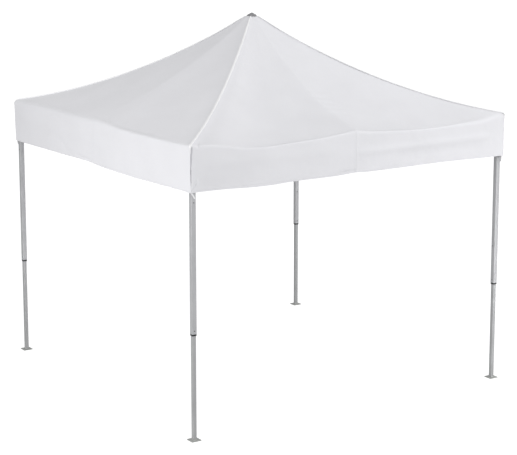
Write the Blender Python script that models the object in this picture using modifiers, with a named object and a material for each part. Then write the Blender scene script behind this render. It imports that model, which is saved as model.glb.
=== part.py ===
"""Pop-up gazebo tent, 3 m by 3 m: four telescopic legs, a folding truss and a peaked fabric canopy.

Metres, +Z up. The origin is on the ground under the middle of the tent. The front is the -Y side.
Every corner and side is the same, so each piece is shaped once, at the front left corner or the
front side, and placed four times by turning its parent about the origin.
"""

import math

import bmesh
import bpy
from mathutils import Matrix, Vector

# Gap left between pieces that touch
GAP = 0.0003

# Canopy
CANOPY_WIDTH = 3.000
EAVE_CORNER_Z = 2.240
EAVE_MIDDLE_Z = 2.216
EAVE_SAG = 0.035
VALANCE_BOTTOM_Z = 1.880
PEAK_Z = 3.030
HIP_CURVE = 0.6
CANOPY_THICKNESS = 0.004
PEAK_OPENING = 0.040
PANEL_COLUMNS = 16
PANEL_ROWS = 9

# Legs
LEG_SPACING = 2.920
OUTER_TUBE = 0.038
OUTER_WALL = 0.0018
OUTER_BOTTOM_Z = 0.822
INNER_TUBE = 0.030
INNER_WALL = 0.0015
INNER_TOP_Z = 1.175
TUBE_CORNER = 0.005
COLLAR_RIM = 0.0365
COLLAR_RIM_HEIGHT = 0.010
COLLAR_SPIGOT_HEIGHT = 0.030
COLLAR_CLEARANCE = 0.0005

# Feet
PLATE_WIDTH = 0.082
PLATE_THICKNESS = 0.004
PLATE_CORNER = 0.010
SOCKET_WIDTH = 0.037
SOCKET_HEIGHT = 0.010

# Truss bars
UPPER_PIVOT_Z = 2.180
TRUSS_HEIGHT = 0.260
BAR_DEPTH = 0.025
BAR_THICKNESS = 0.012
BAR_SPACING = 0.014
RIVET_DIAMETER = 0.014
RIVET_HEAD = 0.002
BAR_ROUNDING = 0.98
SMOOTH_ANGLE = 35
LEG_REACH = 0.045
MIDDLE_REACH = 0.026
ARM_REACH = 0.030

# Plastic joints of the truss
CHEEK = 0.003
FORK_HEIGHT = 0.036
FORK_TIP = 0.015
FORK_ROOT = 0.0145
BRACKET_WIDTH = 0.046
BRACKET_SKIRT = 0.030
LEG_TOP_ABOVE_PIVOT = 0.030
SLIDER_WIDTH = 0.048
SLIDER_HEIGHT = 0.060
PAD_WIDTH = 0.030

# Middle mast and peak
MAST_DIAMETER = 0.025
MAST_WALL = 0.0015
MAST_SEAT_BELOW_PIVOT = 0.010
MAST_TOP_BELOW_PEAK = 0.060
HUB_WIDTH = 0.052
HEAD_NECK = 0.037
HEAD_WIDTH = 0.096
HEAD_RIM = 0.004
HEAD_SPIGOT = 0.030
CAP_WIDTH = 0.080
CAP_HEIGHT = 0.028
CAP_RIM = 0.0035
CAP_KNOB = 0.024
CAP_KNOB_TIP = 0.014
CAP_KNOB_HEIGHT = 0.011
CAP_SHOULDER = 0.072
CAP_SHOULDER_HEIGHT = 0.0075
CAP_BROW = 0.052
CAP_BROW_HEIGHT = 0.011

# Values worked out from the sizes above
LEG_AXIS = LEG_SPACING / 2
CANOPY_HALF = CANOPY_WIDTH / 2
LOWER_PIVOT_Z = UPPER_PIVOT_Z - TRUSS_HEIGHT
OUTER_TOP_Z = UPPER_PIVOT_Z + LEG_TOP_ABOVE_PIVOT
BAR_RUN = LEG_AXIS - LEG_REACH - MIDDLE_REACH
HUB_REACH = LEG_AXIS - ARM_REACH - BAR_RUN
BAR_OFFSET = BAR_SPACING / 2
FORK_HALF = BAR_THICKNESS / 2 + GAP + CHEEK
SLOT_HALF = BAR_THICKNESS / 2 + GAP
MAST_TOP_Z = PEAK_Z - MAST_TOP_BELOW_PEAK

CORNERS = ("front_left", "front_right", "back_right", "back_left")
SIDES = ("front", "right", "back", "left")


def clear_scene():
    for obj in list(bpy.data.objects):
        bpy.data.objects.remove(obj, do_unlink=True)


def new_collection(name):
    collection = bpy.data.collections.new(name)
    bpy.context.scene.collection.children.link(collection)
    return collection


def new_material(name, colour, roughness, metallic):
    material = bpy.data.materials.new(name)
    material.use_nodes = True
    shader = material.node_tree.nodes["Principled BSDF"]
    shader.inputs["Base Color"].default_value = (*colour, 1.0)
    shader.inputs["Roughness"].default_value = roughness
    shader.inputs["Metallic"].default_value = metallic
    return material


def finish_mesh(bm, name):
    bmesh.ops.recalc_face_normals(bm, faces=bm.faces)
    mesh = bpy.data.meshes.new(name)
    bm.to_mesh(mesh)
    bm.free()
    return mesh


# Basic shapes, each returned as a mesh

def block(low, high):
    """A box between two corners, as a bmesh."""
    low, high = Vector(low), Vector(high)
    bm = bmesh.new()
    bmesh.ops.create_cube(bm, size=1.0)
    bmesh.ops.scale(bm, vec=high - low, verts=bm.verts)
    bmesh.ops.translate(bm, vec=(low + high) / 2, verts=bm.verts)
    return bm


def box(low, high):
    return finish_mesh(block(low, high), "box")


def post(width, bottom, top, corner=TUBE_CORNER, open_ends=False):
    """An upright square post with rounded corners, centred on the Z axis."""
    half = width / 2
    bm = block((-half, -half, bottom), (half, half, top))
    if open_ends:
        ends = [f for f in bm.faces if abs(f.normal.z) > 0.5]
        bmesh.ops.delete(bm, geom=ends, context="FACES_ONLY")
    upright = [e for e in bm.edges if abs(e.verts[0].co.z - e.verts[1].co.z) > half / 100]
    bmesh.ops.bevel(bm, geom=upright, offset=corner, segments=2, affect="EDGES", profile=0.5)
    return finish_mesh(bm, "post")


def rod(diameter, start, end, segments=12):
    """A round bar between two points."""
    start, end = Vector(start), Vector(end)
    turn = (end - start).to_track_quat("Z", "Y").to_matrix().to_4x4()
    bm = bmesh.new()
    bmesh.ops.create_cone(
        bm, cap_ends=True, segments=segments, radius1=diameter / 2, radius2=diameter / 2,
        depth=(end - start).length, matrix=Matrix.Translation((start + end) / 2) @ turn)
    return finish_mesh(bm, "rod")


def flat_bar(start_z, end_z, y):
    """A flat bar with round ends between two pivots, one bar run apart along X."""
    start, end = Vector((0, y, start_z)), Vector((BAR_RUN, y, end_z))
    run = end - start
    half_length, half_depth = run.length / 2 + BAR_DEPTH / 2, BAR_DEPTH / 2
    bm = block((-half_length, -BAR_THICKNESS / 2, -half_depth), (half_length, BAR_THICKNESS / 2, half_depth))
    across = [e for e in bm.edges if abs(e.verts[0].co.y - e.verts[1].co.y) > GAP]
    bmesh.ops.bevel(bm, geom=across, offset=half_depth * BAR_ROUNDING, segments=3, affect="EDGES", profile=0.5)
    tilt = Matrix.Rotation(-math.atan2(run.z, run.x), 4, "Y")
    bmesh.ops.transform(bm, matrix=Matrix.Translation((start + end) / 2) @ tilt, verts=bm.verts)
    return finish_mesh(bm, "bar")


def combined(base, added=(), cut=()):
    """One solid from a base mesh, with some meshes joined to it and others cut out of it."""
    helpers = [bpy.data.objects.new(mesh.name, mesh) for mesh in (base, *added, *cut)]
    for helper in helpers:
        helper.hide_render = True
        helper.display_type = "WIRE"
        cutters.objects.link(helper)
    body = helpers[0]
    for index, helper in enumerate(helpers[1:]):
        boolean = body.modifiers.new(helper.name, "BOOLEAN")
        boolean.operation = "UNION" if index < len(added) else "DIFFERENCE"
        boolean.object = helper
    bpy.context.view_layer.update()
    mesh = bpy.data.meshes.new_from_object(body.evaluated_get(bpy.context.evaluated_depsgraph_get()))
    for helper in helpers:
        bpy.data.objects.remove(helper, do_unlink=True)
    return mesh


# The canopy's surface

def hip_height(along):
    """Height of a sagging hip seam: along is 0 at the peak and 1 at the corner."""
    back = 1.0 - along
    return EAVE_CORNER_Z + (PEAK_Z - EAVE_CORNER_Z) * (HIP_CURVE * back ** 2 + (1 - HIP_CURVE) * back)


def eave_drop(across):
    """How far the eave lies under the corner's height: across is 0 mid-side and 1 at a corner."""
    share = abs(across)
    to_middle = (EAVE_CORNER_Z - EAVE_MIDDLE_Z) * (1.0 - share)
    return to_middle + EAVE_SAG * 4.0 * share * (1.0 - share)


def roof_height(x, y):
    """Height of the canopy's top face over a point of the plan."""
    outer, inner = max(abs(x), abs(y)), min(abs(x), abs(y))
    along = outer / CANOPY_HALF
    return hip_height(along) - eave_drop(inner / outer) * along ** 2


def level_under_roof(x, y, reach):
    """Highest level of a flat square pad, with a half width of reach, under the canopy."""
    spots = [(x + dx, y + dy) for dx in (-reach, 0, reach) for dy in (-reach, 0, reach)]
    return min(roof_height(*spot) for spot in spots) - CANOPY_THICKNESS - GAP


def thicken(bm, offset):
    """Close an open sheet with a copy of itself moved by the offset."""
    extruded = bmesh.ops.extrude_face_region(bm, geom=bm.faces[:], use_keep_orig=True)
    moved = [v for v in extruded["geom"] if isinstance(v, bmesh.types.BMVert)]
    bmesh.ops.translate(bm, vec=offset, verts=moved)


def roof_panel():
    """The front panel of the roof, from the eave to the opening at the peak."""
    seam = GAP / math.sqrt(2)
    first = PEAK_OPENING / CANOPY_WIDTH
    bm = bmesh.new()
    bmesh.ops.create_grid(bm, x_segments=PANEL_COLUMNS, y_segments=PANEL_ROWS, size=1.0)
    for vert in bm.verts:
        along = first + (1.0 - first) * (1.0 - vert.co.y) / 2
        x = (CANOPY_HALF * along - seam) * vert.co.x
        y = -CANOPY_HALF * along
        vert.co = (x, y, roof_height(x, y))
    thicken(bm, (0, 0, -CANOPY_THICKNESS))
    return finish_mesh(bm, "roof_panel")


def valance():
    """The front valance, from just under the roof's edge down to its hem."""
    first, last = -CANOPY_HALF, CANOPY_HALF - CANOPY_THICKNESS - GAP
    bm = bmesh.new()
    bmesh.ops.create_grid(bm, x_segments=PANEL_COLUMNS, y_segments=2, size=1.0)
    for vert in bm.verts:
        x = first + (last - first) * (vert.co.x + 1.0) / 2
        top = roof_height(x, first) - CANOPY_THICKNESS - GAP
        z = VALANCE_BOTTOM_Z + (top - VALANCE_BOTTOM_Z) * (vert.co.y + 1.0) / 2
        vert.co = (x, first, z)
    thicken(bm, (0, CANOPY_THICKNESS, 0))
    return finish_mesh(bm, "valance")


# Legs and feet, each centred on the leg's axis

def collar():
    """The plastic bush in the mouth of an outer tube, with the rim that shows under it."""
    rim_bottom = OUTER_BOTTOM_Z - COLLAR_RIM_HEIGHT
    rim_top = OUTER_BOTTOM_Z - GAP
    spigot_top = OUTER_BOTTOM_Z + COLLAR_SPIGOT_HEIGHT
    rim = post(COLLAR_RIM, rim_bottom, rim_top)
    spigot_width = OUTER_TUBE - 2 * OUTER_WALL - 2 * GAP
    spigot = post(spigot_width, rim_bottom + GAP, spigot_top, TUBE_CORNER - OUTER_WALL)
    bore_width = INNER_TUBE + 2 * COLLAR_CLEARANCE
    bore = post(bore_width, rim_bottom - GAP, spigot_top + GAP, TUBE_CORNER)
    return combined(rim, [spigot], [bore])


def foot_plate():
    """A flat steel plate with a low socket round the inner leg."""
    plate = post(PLATE_WIDTH, 0.0, PLATE_THICKNESS, PLATE_CORNER)
    socket = post(SOCKET_WIDTH, PLATE_THICKNESS / 2, PLATE_THICKNESS + SOCKET_HEIGHT)
    seat = post(INNER_TUBE + 2 * GAP, PLATE_THICKNESS, PLATE_THICKNESS + 2 * SOCKET_HEIGHT)
    return combined(plate, [socket], [seat])


# Plastic joints with forks that hold the bars' ends

def fork(direction, plane, root, pivot, z):
    """The block and the slot of a fork along +X or +Y, for a bar in the given plane."""
    tip = pivot + FORK_TIP
    low, high = z - FORK_HEIGHT / 2, z + FORK_HEIGHT / 2
    cheeks = [(root, plane - FORK_HALF, low), (tip, plane + FORK_HALF, high)]
    slot = [(pivot - FORK_ROOT, plane - SLOT_HALF, low - GAP), (tip + GAP, plane + SLOT_HALF, high + GAP)]
    if direction == "y":
        cheeks = [(across, along, level) for along, across, level in cheeks]
        slot = [(across, along, level) for along, across, level in slot]
    return box(*cheeks), box(*slot)


def leg_joint(body, bore, plane, z):
    """A moulding round a leg, with a fork for the truss of each side that meets there."""
    forks = [fork(direction, plane, OUTER_TUBE / 2, LEG_REACH, z) for direction in "xy"]
    return combined(body, [cheeks for cheeks, slot in forks], [slot for cheeks, slot in forks] + [bore])


def top_bracket():
    """The cap of a leg, which holds the outer bars' ends and carries the canopy's corner."""
    low = UPPER_PIVOT_Z - BRACKET_SKIRT
    top = level_under_roof(-LEG_AXIS, -LEG_AXIS, BRACKET_WIDTH / 2)
    body = post(BRACKET_WIDTH, low, top)
    bore = post(OUTER_TUBE + 2 * GAP, low - GAP, OUTER_TOP_Z + GAP)
    return leg_joint(body, bore, -BAR_OFFSET, UPPER_PIVOT_Z)


def slider():
    """The sleeve that slides on a leg and holds the inner bars' ends."""
    low, high = LOWER_PIVOT_Z - SLIDER_HEIGHT / 2, LOWER_PIVOT_Z + SLIDER_HEIGHT / 2
    body = post(SLIDER_WIDTH, low, high)
    bore = post(OUTER_TUBE + 2 * GAP, low - GAP, high + GAP)
    return leg_joint(body, bore, BAR_OFFSET, LOWER_PIVOT_Z)


def side_joint(plane, z, pad_top=None):
    """The joint in the middle of a side: two forks along the side and one towards the mast."""
    tip, core = MIDDLE_REACH + FORK_TIP, MIDDLE_REACH - FORK_ROOT
    low, high = z - FORK_HEIGHT / 2, z + FORK_HEIGHT / 2
    body = box((-tip, plane - FORK_HALF, low), (tip, plane + FORK_HALF, high))
    slot_low, slot_high = (plane - SLOT_HALF, low - GAP), (plane + SLOT_HALF, high + GAP)
    slots = [box((-tip - GAP, *slot_low), (-core, *slot_high)), box((core, *slot_low), (tip + GAP, *slot_high))]
    arm_cheeks, arm_slot = fork("y", plane, plane, ARM_REACH, z)
    added = [arm_cheeks]
    if pad_top:
        reach = PAD_WIDTH / 2
        added.append(box((-reach, plane - FORK_HALF, high - CHEEK), (reach, ARM_REACH, pad_top)))
    return combined(body, added, slots + [arm_slot])


def upper_side_joint():
    pad_top = level_under_roof(0.0, -LEG_AXIS + PAD_WIDTH / 2, PAD_WIDTH / 2)
    return side_joint(BAR_OFFSET, UPPER_PIVOT_Z, pad_top)


def lower_side_joint():
    return side_joint(-BAR_OFFSET, LOWER_PIVOT_Z)


def hub(plane, z, bore):
    """A joint on the mast with four forks, one for each side's arm."""
    half = HUB_WIDTH / 2
    low, high = z - FORK_HEIGHT / 2, z + FORK_HEIGHT / 2
    cheeks, slot = fork("y", plane, half / 2, HUB_REACH, z)
    added, cut = [], [bore]
    for quarter in range(4):
        turn = Matrix.Rotation(math.radians(90 * quarter + 180), 4, "Z")
        for mesh, group in ((cheeks, added), (slot, cut)):
            turned = mesh.copy()
            turned.transform(turn)
            group.append(turned)
    return combined(box((-half, -half, low), (half, half, high)), added, cut)


def upper_hub():
    """The hub that slides on the mast and holds the inner bars of the arms."""
    height = FORK_HEIGHT / 2 + GAP
    bore = rod(MAST_DIAMETER + 2 * GAP, (0, 0, UPPER_PIVOT_Z - height), (0, 0, UPPER_PIVOT_Z + height), 16)
    return hub(BAR_OFFSET, UPPER_PIVOT_Z, bore)


def lower_hub():
    """The hub that the mast stands in."""
    seat_z = LOWER_PIVOT_Z - MAST_SEAT_BELOW_PIVOT
    bore = rod(MAST_DIAMETER + 2 * GAP, (0, 0, seat_z), (0, 0, LOWER_PIVOT_Z + FORK_HEIGHT), 16)
    return hub(-BAR_OFFSET, LOWER_PIVOT_Z, bore)


# Truss

def scissor_pair(rising):
    """Two crossed bars on one rivet. The outer bar rises along +X or falls."""
    start, end = (0.0, TRUSS_HEIGHT) if rising else (TRUSS_HEIGHT, 0.0)
    outer = flat_bar(start, end, -BAR_OFFSET)
    inner = flat_bar(end, start, BAR_OFFSET)
    reach = BAR_OFFSET + BAR_THICKNESS / 2 + RIVET_HEAD
    middle = (BAR_RUN / 2, TRUSS_HEIGHT / 2)
    rivet = rod(RIVET_DIAMETER, (middle[0], -reach, middle[1]), (middle[0], reach, middle[1]))
    return combined(outer, [inner, rivet])


# Turned pieces at the peak

def turned(name, profile, material, parent=None):
    """A solid of revolution round the Z axis from a profile that runs from top to bottom."""
    mesh = bpy.data.meshes.new(name)
    mesh.from_pydata([(x, 0.0, z) for x, z in profile], [(i, i + 1) for i in range(len(profile) - 1)], [])
    obj = place(name, mesh, material, parent)
    screw = obj.modifiers.new("Turn", "SCREW")
    screw.steps = 24
    screw.render_steps = 24
    screw.use_merge_vertices = True
    screw.merge_threshold = 0.00001
    return obj


def mast_head_profile(cap_base):
    """A plate on the mast that spreads the roof, with a neck that fills the peak opening."""
    neck, edge, spigot = HEAD_NECK / 2, HEAD_WIDTH / 2, MAST_DIAMETER / 2 - MAST_WALL - GAP
    steps = 4
    spread = [neck + (edge - neck) * step / steps for step in range(steps + 1)]
    under_fabric = [(x, roof_height(0.0, -x) - CANOPY_THICKNESS - GAP) for x in spread]
    seat = MAST_TOP_Z + GAP
    return [
        (0.0, cap_base - GAP),
        (neck, cap_base - GAP),
        *under_fabric,
        (edge, under_fabric[-1][1] - HEAD_RIM),
        (MAST_DIAMETER / 2, seat),
        (spigot, seat),
        (spigot, seat - HEAD_SPIGOT),
        (0.0, seat - HEAD_SPIGOT),
    ]


def peak_cap_profile(cap_base):
    """A low round dome with a small knob."""
    top = cap_base + CAP_HEIGHT
    return [
        (0.0, top),
        (CAP_KNOB_TIP / 2, top - GAP),
        (CAP_KNOB / 2, top - CAP_KNOB_HEIGHT),
        (CAP_BROW / 2, cap_base + CAP_BROW_HEIGHT),
        (CAP_SHOULDER / 2, cap_base + CAP_SHOULDER_HEIGHT),
        (CAP_WIDTH / 2, cap_base + CAP_RIM),
        (CAP_WIDTH / 2, cap_base),
        (0.0, cap_base),
    ]


# Placing the pieces

def place(name, mesh, material, parent=None):
    """An object for a piece, with its round faces shaded smooth."""
    obj = bpy.data.objects.new(name, mesh)
    parts.objects.link(obj)
    obj.data.materials.clear()
    obj.data.materials.append(material)
    obj.data.shade_smooth()
    obj.data.set_sharp_from_angle(angle=math.radians(SMOOTH_ANGLE))
    obj.parent = parent
    return obj


def empty(name, location, quarter):
    """A parent that stands at a point of the front left quarter, turned about the origin."""
    turn = Matrix.Rotation(math.radians(90 * quarter), 4, "Z")
    obj = bpy.data.objects.new(name, None)
    parts.objects.link(obj)
    obj.matrix_world = turn @ Matrix.Translation(location)
    return obj


def hollow(obj, wall):
    """Give an open skin its wall, inwards."""
    solidify = obj.modifiers.new("Wall", "SOLIDIFY")
    solidify.thickness = wall
    solidify.offset = -1.0
    solidify.use_even_offset = True


def build_corner(quarter, shapes, finishes):
    """One leg with its foot, collar, bracket and slider."""
    corner = CORNERS[quarter]
    leg_axis = empty(f"corner_{corner}", (-LEG_AXIS, -LEG_AXIS, 0.0), quarter)
    telescope = empty(f"telescope_{corner}", (-LEG_AXIS, -LEG_AXIS, 0.0), quarter)
    hollow(place(f"outer_leg_{corner}", shapes["outer_leg"], finishes["leg"], leg_axis), OUTER_WALL)
    place(f"collar_{corner}", shapes["collar"], finishes["collar"], leg_axis)
    place(f"top_bracket_{corner}", shapes["top_bracket"], finishes["joint"], leg_axis)
    place(f"slider_{corner}", shapes["slider"], finishes["joint"], leg_axis)
    hollow(place(f"inner_leg_{corner}", shapes["inner_leg"], finishes["leg"], telescope), INNER_WALL)
    place(f"foot_plate_{corner}", shapes["foot_plate"], finishes["foot"], telescope)


def build_side(quarter, shapes, finishes):
    """One side's truss, the arm from its middle to the mast, and its share of the canopy."""
    side = SIDES[quarter]
    middle = empty(f"middle_{side}", (0.0, -LEG_AXIS, 0.0), quarter)
    place(f"upper_joint_{side}", shapes["upper_joint"], finishes["joint"], middle)
    place(f"lower_joint_{side}", shapes["lower_joint"], finishes["joint"], middle)
    for number, shape, start in ((1, "falling_pair", -MIDDLE_REACH - BAR_RUN), (2, "rising_pair", MIDDLE_REACH)):
        pair = place(f"scissor_{side}_{number}", shapes[shape], finishes["bar"], middle)
        pair.location = (start, 0.0, LOWER_PIVOT_Z)
    arm = place(f"scissor_arm_{side}", shapes["falling_pair"], finishes["bar"], middle)
    arm.location = (0.0, ARM_REACH, LOWER_PIVOT_Z)
    arm.rotation_euler = (0.0, 0.0, math.radians(90))
    canopy = empty(f"canopy_{side}", (0.0, 0.0, 0.0), quarter)
    place(f"roof_panel_{side}", shapes["roof_panel"], finishes["fabric"], canopy)
    place(f"valance_{side}", shapes["valance"], finishes["fabric"], canopy)


def build_mast(finishes):
    place("upper_hub", upper_hub(), finishes["joint"])
    place("lower_hub", lower_hub(), finishes["joint"])
    seat_z = LOWER_PIVOT_Z - MAST_SEAT_BELOW_PIVOT + GAP
    bm = bmesh.new()
    bmesh.ops.create_cone(
        bm, cap_ends=False, segments=20, radius1=MAST_DIAMETER / 2, radius2=MAST_DIAMETER / 2,
        depth=MAST_TOP_Z - seat_z, matrix=Matrix.Translation((0, 0, (MAST_TOP_Z + seat_z) / 2)))
    hollow(place("mast", finish_mesh(bm, "mast"), finishes["leg"]), MAST_WALL)
    cap_base = roof_height(0.0, -PEAK_OPENING / 2) + GAP
    turned("mast_head", mast_head_profile(cap_base), finishes["joint"])
    turned("peak_cap", peak_cap_profile(cap_base), finishes["cap"])


def main():
    finishes = {
        "fabric": new_material("white_fabric", (0.86, 0.86, 0.88), 0.85, 0.0),
        "leg": new_material("silver_tube", (0.62, 0.63, 0.64), 0.35, 0.9),
        "bar": new_material("truss_bar", (0.62, 0.63, 0.64), 0.4, 0.9),
        "foot": new_material("foot_steel", (0.50, 0.51, 0.51), 0.5, 0.8),
        "collar": new_material("dark_plastic", (0.05, 0.05, 0.06), 0.5, 0.0),
        "joint": new_material("grey_plastic", (0.30, 0.31, 0.32), 0.5, 0.0),
        "cap": new_material("cap_plastic", (0.25, 0.25, 0.26), 0.45, 0.0),
    }
    inner_bottom = PLATE_THICKNESS + GAP
    shapes = {
        "outer_leg": post(OUTER_TUBE, OUTER_BOTTOM_Z, OUTER_TOP_Z, open_ends=True),
        "inner_leg": post(INNER_TUBE, inner_bottom, INNER_TOP_Z, open_ends=True),
        "collar": collar(),
        "foot_plate": foot_plate(),
        "top_bracket": top_bracket(),
        "slider": slider(),
        "upper_joint": upper_side_joint(),
        "lower_joint": lower_side_joint(),
        "falling_pair": scissor_pair(rising=False),
        "rising_pair": scissor_pair(rising=True),
        "roof_panel": roof_panel(),
        "valance": valance(),
    }
    for quarter in range(4):
        build_corner(quarter, shapes, finishes)
        build_side(quarter, shapes, finishes)
    build_mast(finishes)


clear_scene()
parts = new_collection("gazebo_tent")
cutters = new_collection("cutters")
main()
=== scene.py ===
"""Looks of the pop-up gazebo tent: its sewn canopy, its tubes, joints and small fittings.

Metres, +Z up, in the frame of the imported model. The front is the -Y side. What repeats is shaped
once, at the front left corner or the front side, and turned about the origin by quarter turns.
"""

import logging
import math
from collections.abc import Callable, Sequence
from dataclasses import dataclass, field
from enum import Enum

import bmesh
import bpy
from mathutils import Matrix, Vector, noise


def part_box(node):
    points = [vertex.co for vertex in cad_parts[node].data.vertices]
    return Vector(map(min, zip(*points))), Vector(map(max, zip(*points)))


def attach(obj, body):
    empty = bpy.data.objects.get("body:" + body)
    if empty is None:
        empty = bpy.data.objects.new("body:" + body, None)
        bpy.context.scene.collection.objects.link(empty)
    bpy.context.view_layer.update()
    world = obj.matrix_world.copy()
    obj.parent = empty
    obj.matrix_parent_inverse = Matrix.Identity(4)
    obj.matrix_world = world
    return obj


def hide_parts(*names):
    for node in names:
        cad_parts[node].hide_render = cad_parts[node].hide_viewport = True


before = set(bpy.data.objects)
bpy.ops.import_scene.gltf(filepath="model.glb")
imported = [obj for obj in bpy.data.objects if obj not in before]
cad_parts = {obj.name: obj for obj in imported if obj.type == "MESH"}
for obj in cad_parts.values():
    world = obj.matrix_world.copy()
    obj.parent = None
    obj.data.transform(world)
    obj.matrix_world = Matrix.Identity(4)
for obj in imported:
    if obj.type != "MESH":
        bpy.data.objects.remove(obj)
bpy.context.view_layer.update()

logging.basicConfig(level=logging.INFO, format="%(name)s: %(message)s")
log = logging.getLogger("gazebo")

MILLIMETRE = 0.001
SMOOTH_ANGLE = math.radians(35)

Socket = bpy.types.NodeSocket
Number = float | Socket
Shape = bmesh.types.BMesh


class Corner(Enum):
    """A corner of the tent, by its quarter turns from the front left one."""

    FRONT_LEFT = 0
    FRONT_RIGHT = 1
    BACK_RIGHT = 2
    BACK_LEFT = 3

    @property
    def label(self) -> str:
        """The corner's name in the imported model's nodes."""
        return self.name.lower()


class Side(Enum):
    """A side of the tent, by its quarter turns from the front one."""

    FRONT = 0
    RIGHT = 1
    BACK = 2
    LEFT = 3

    @property
    def label(self) -> str:
        """The side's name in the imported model's nodes."""
        return self.name.lower()


class Zone(Enum):
    """A stretch of the canopy between the peak and the hem."""

    ROOF = "roof"
    EAVE = "eave"
    VALANCE = "valance"


# Helpers


def quarter_turn(place: Corner | Side) -> Matrix:
    """The turn about the origin that takes the front left corner or the front side to a place."""
    return Matrix.Rotation(math.radians(90 * place.value), 4, "Z")


def smooth_step(value: float, low: float = 0.0, high: float = 1.0) -> float:
    """A soft step from 0 at low to 1 at high.

    Args:
        value: Where the step is read.
        low: Where the step starts.
        high: Where the step ends.

    Returns:
        The step's height, from 0 to 1.
    """
    share = min(1.0, max(0.0, (value - low) / (high - low)))
    return share * share * (3.0 - 2.0 * share)


def between(start: float, end: float, share: float) -> float:
    """The value at a share of the way from start to end."""
    return start + (end - start) * share


def through(stops: Sequence[tuple[float, float]], value: float) -> float:
    """A smooth curve through a few stops.

    Args:
        stops: Pairs of a place and a height, in rising places.
        value: The place where the curve is read.

    Returns:
        The curve's height there.
    """
    last = len(stops) - 1
    index = next((i for i in range(last) if value <= stops[i + 1][0]), last - 1)
    slopes = []
    for i in (index, index + 1):
        before, after = stops[max(0, i - 1)], stops[min(last, i + 1)]
        slopes.append((after[1] - before[1]) / (after[0] - before[0]))
    (low, first), (high, second) = stops[index], stops[index + 1]
    run = high - low
    share = min(1.0, max(0.0, (value - low) / run))
    rest = 1.0 - share
    return (first * rest * rest * (1 + 2 * share) + second * share * share * (3 - 2 * share)
            + slopes[0] * run * share * rest * rest - slopes[1] * run * share * share * rest)


def spaced(stretches: Sequence[tuple[float, float, int]]) -> list[float]:
    """Values that run through several stretches, each with its own count of steps.

    Args:
        stretches: Start, end and count of steps of each stretch, one after another.

    Returns:
        The values, with the ends of the whole run.
    """
    values = [stretches[0][0]]
    for start, end, steps in stretches:
        values += [between(start, end, (step + 1) / steps) for step in range(steps)]
    return values


def finished(
    name: str,
    shape: Shape,
    finish: "Finish",
    body: str = "frame",
    replaces: Sequence[str] = (),
    smooth_angle: float = SMOOTH_ANGLE,
) -> bpy.types.Object:
    """Make a piece from a shape, with its finish, and put it on its body.

    Args:
        name: The piece's name.
        shape: The bmesh, which is freed.
        finish: What the piece is made of.
        body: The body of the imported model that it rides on.
        replaces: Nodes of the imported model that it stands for.
        smooth_angle: Edges that bend more than this stay crisp.

    Returns:
        The piece's object.
    """
    mesh = bpy.data.meshes.new(name)
    shape.to_mesh(mesh)
    shape.free()
    mesh.materials.append(finish.material())
    mesh.shade_smooth()
    mesh.set_sharp_from_angle(angle=smooth_angle)
    piece = bpy.data.objects.new(name, mesh)
    bpy.context.scene.collection.objects.link(piece)
    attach(piece, body)
    if replaces:
        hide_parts(*replaces)
    log.info("%s: %d faces", name, len(mesh.polygons))
    return piece


def merged(shapes: Sequence[Shape]) -> Shape:
    """One bmesh from several, which are freed."""
    whole = bmesh.new()
    for shape in shapes:
        mesh = bpy.data.meshes.new("part")
        shape.to_mesh(mesh)
        shape.free()
        whole.from_mesh(mesh)
        bpy.data.meshes.remove(mesh)
    return whole


def moved(shape: Shape, matrix: Matrix) -> Shape:
    """The same bmesh after a transform of all its vertices."""
    bmesh.ops.transform(shape, matrix=matrix, verts=shape.verts)
    return shape


def block(low: Vector, high: Vector) -> Shape:
    """A box between two corners."""
    shape = bmesh.new()
    bmesh.ops.create_cube(shape, size=1.0)
    bmesh.ops.scale(shape, vec=high - low, verts=shape.verts)
    bmesh.ops.translate(shape, vec=(low + high) / 2, verts=shape.verts)
    return shape


def bevel(shape: Shape, edges: Sequence[bmesh.types.BMEdge], width: float, segments: int) -> None:
    """Round some edges of a shape."""
    bmesh.ops.bevel(shape, geom=list(edges), offset=width, segments=segments, affect="EDGES",
                    profile=0.5, material=-1, clamp_overlap=True)


def post(width: float, bottom: float, top: float, corner: float, segments: int = 5) -> Shape:
    """An upright square post round the Z axis, with its upright edges rounded."""
    half = width / 2
    shape = block(Vector((-half, -half, bottom)), Vector((half, half, top)))
    upright = [e for e in shape.edges if abs(e.verts[0].co.z - e.verts[1].co.z) > MILLIMETRE]
    bevel(shape, upright, corner, segments)
    return shape


def turned(profile: Sequence[tuple[float, float]], steps: int = 48) -> Shape:
    """A solid of revolution round the Z axis.

    Args:
        profile: Radius and height of each point, from the top's middle to the bottom's middle.
        steps: Steps of the full turn.

    Returns:
        The closed solid.
    """
    shape = bmesh.new()
    line = [shape.verts.new((radius, 0.0, height)) for radius, height in profile]
    edges = [shape.edges.new(pair) for pair in zip(line, line[1:])]
    bmesh.ops.spin(shape, geom=line + edges, cent=(0, 0, 0), axis=(0, 0, 1), angle=math.tau,
                   steps=steps, use_merge=True, use_duplicate=False)
    bmesh.ops.remove_doubles(shape, verts=shape.verts, dist=MILLIMETRE / 100)
    bmesh.ops.recalc_face_normals(shape, faces=shape.faces)
    return shape


def aimed(point: Vector, direction: Vector) -> Matrix:
    """The transform that stands the Z axis at a point, along a direction."""
    return Matrix.Translation(point) @ direction.to_track_quat("Z", "Y").to_matrix().to_4x4()


def round_bar(radius: float, depth: float, segments: int = 24) -> Shape:
    """A plain round bar round the Z axis, with its middle at the origin."""
    shape = bmesh.new()
    bmesh.ops.create_cone(shape, cap_ends=True, segments=segments, radius1=radius, radius2=radius,
                          depth=depth)
    return shape


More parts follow.
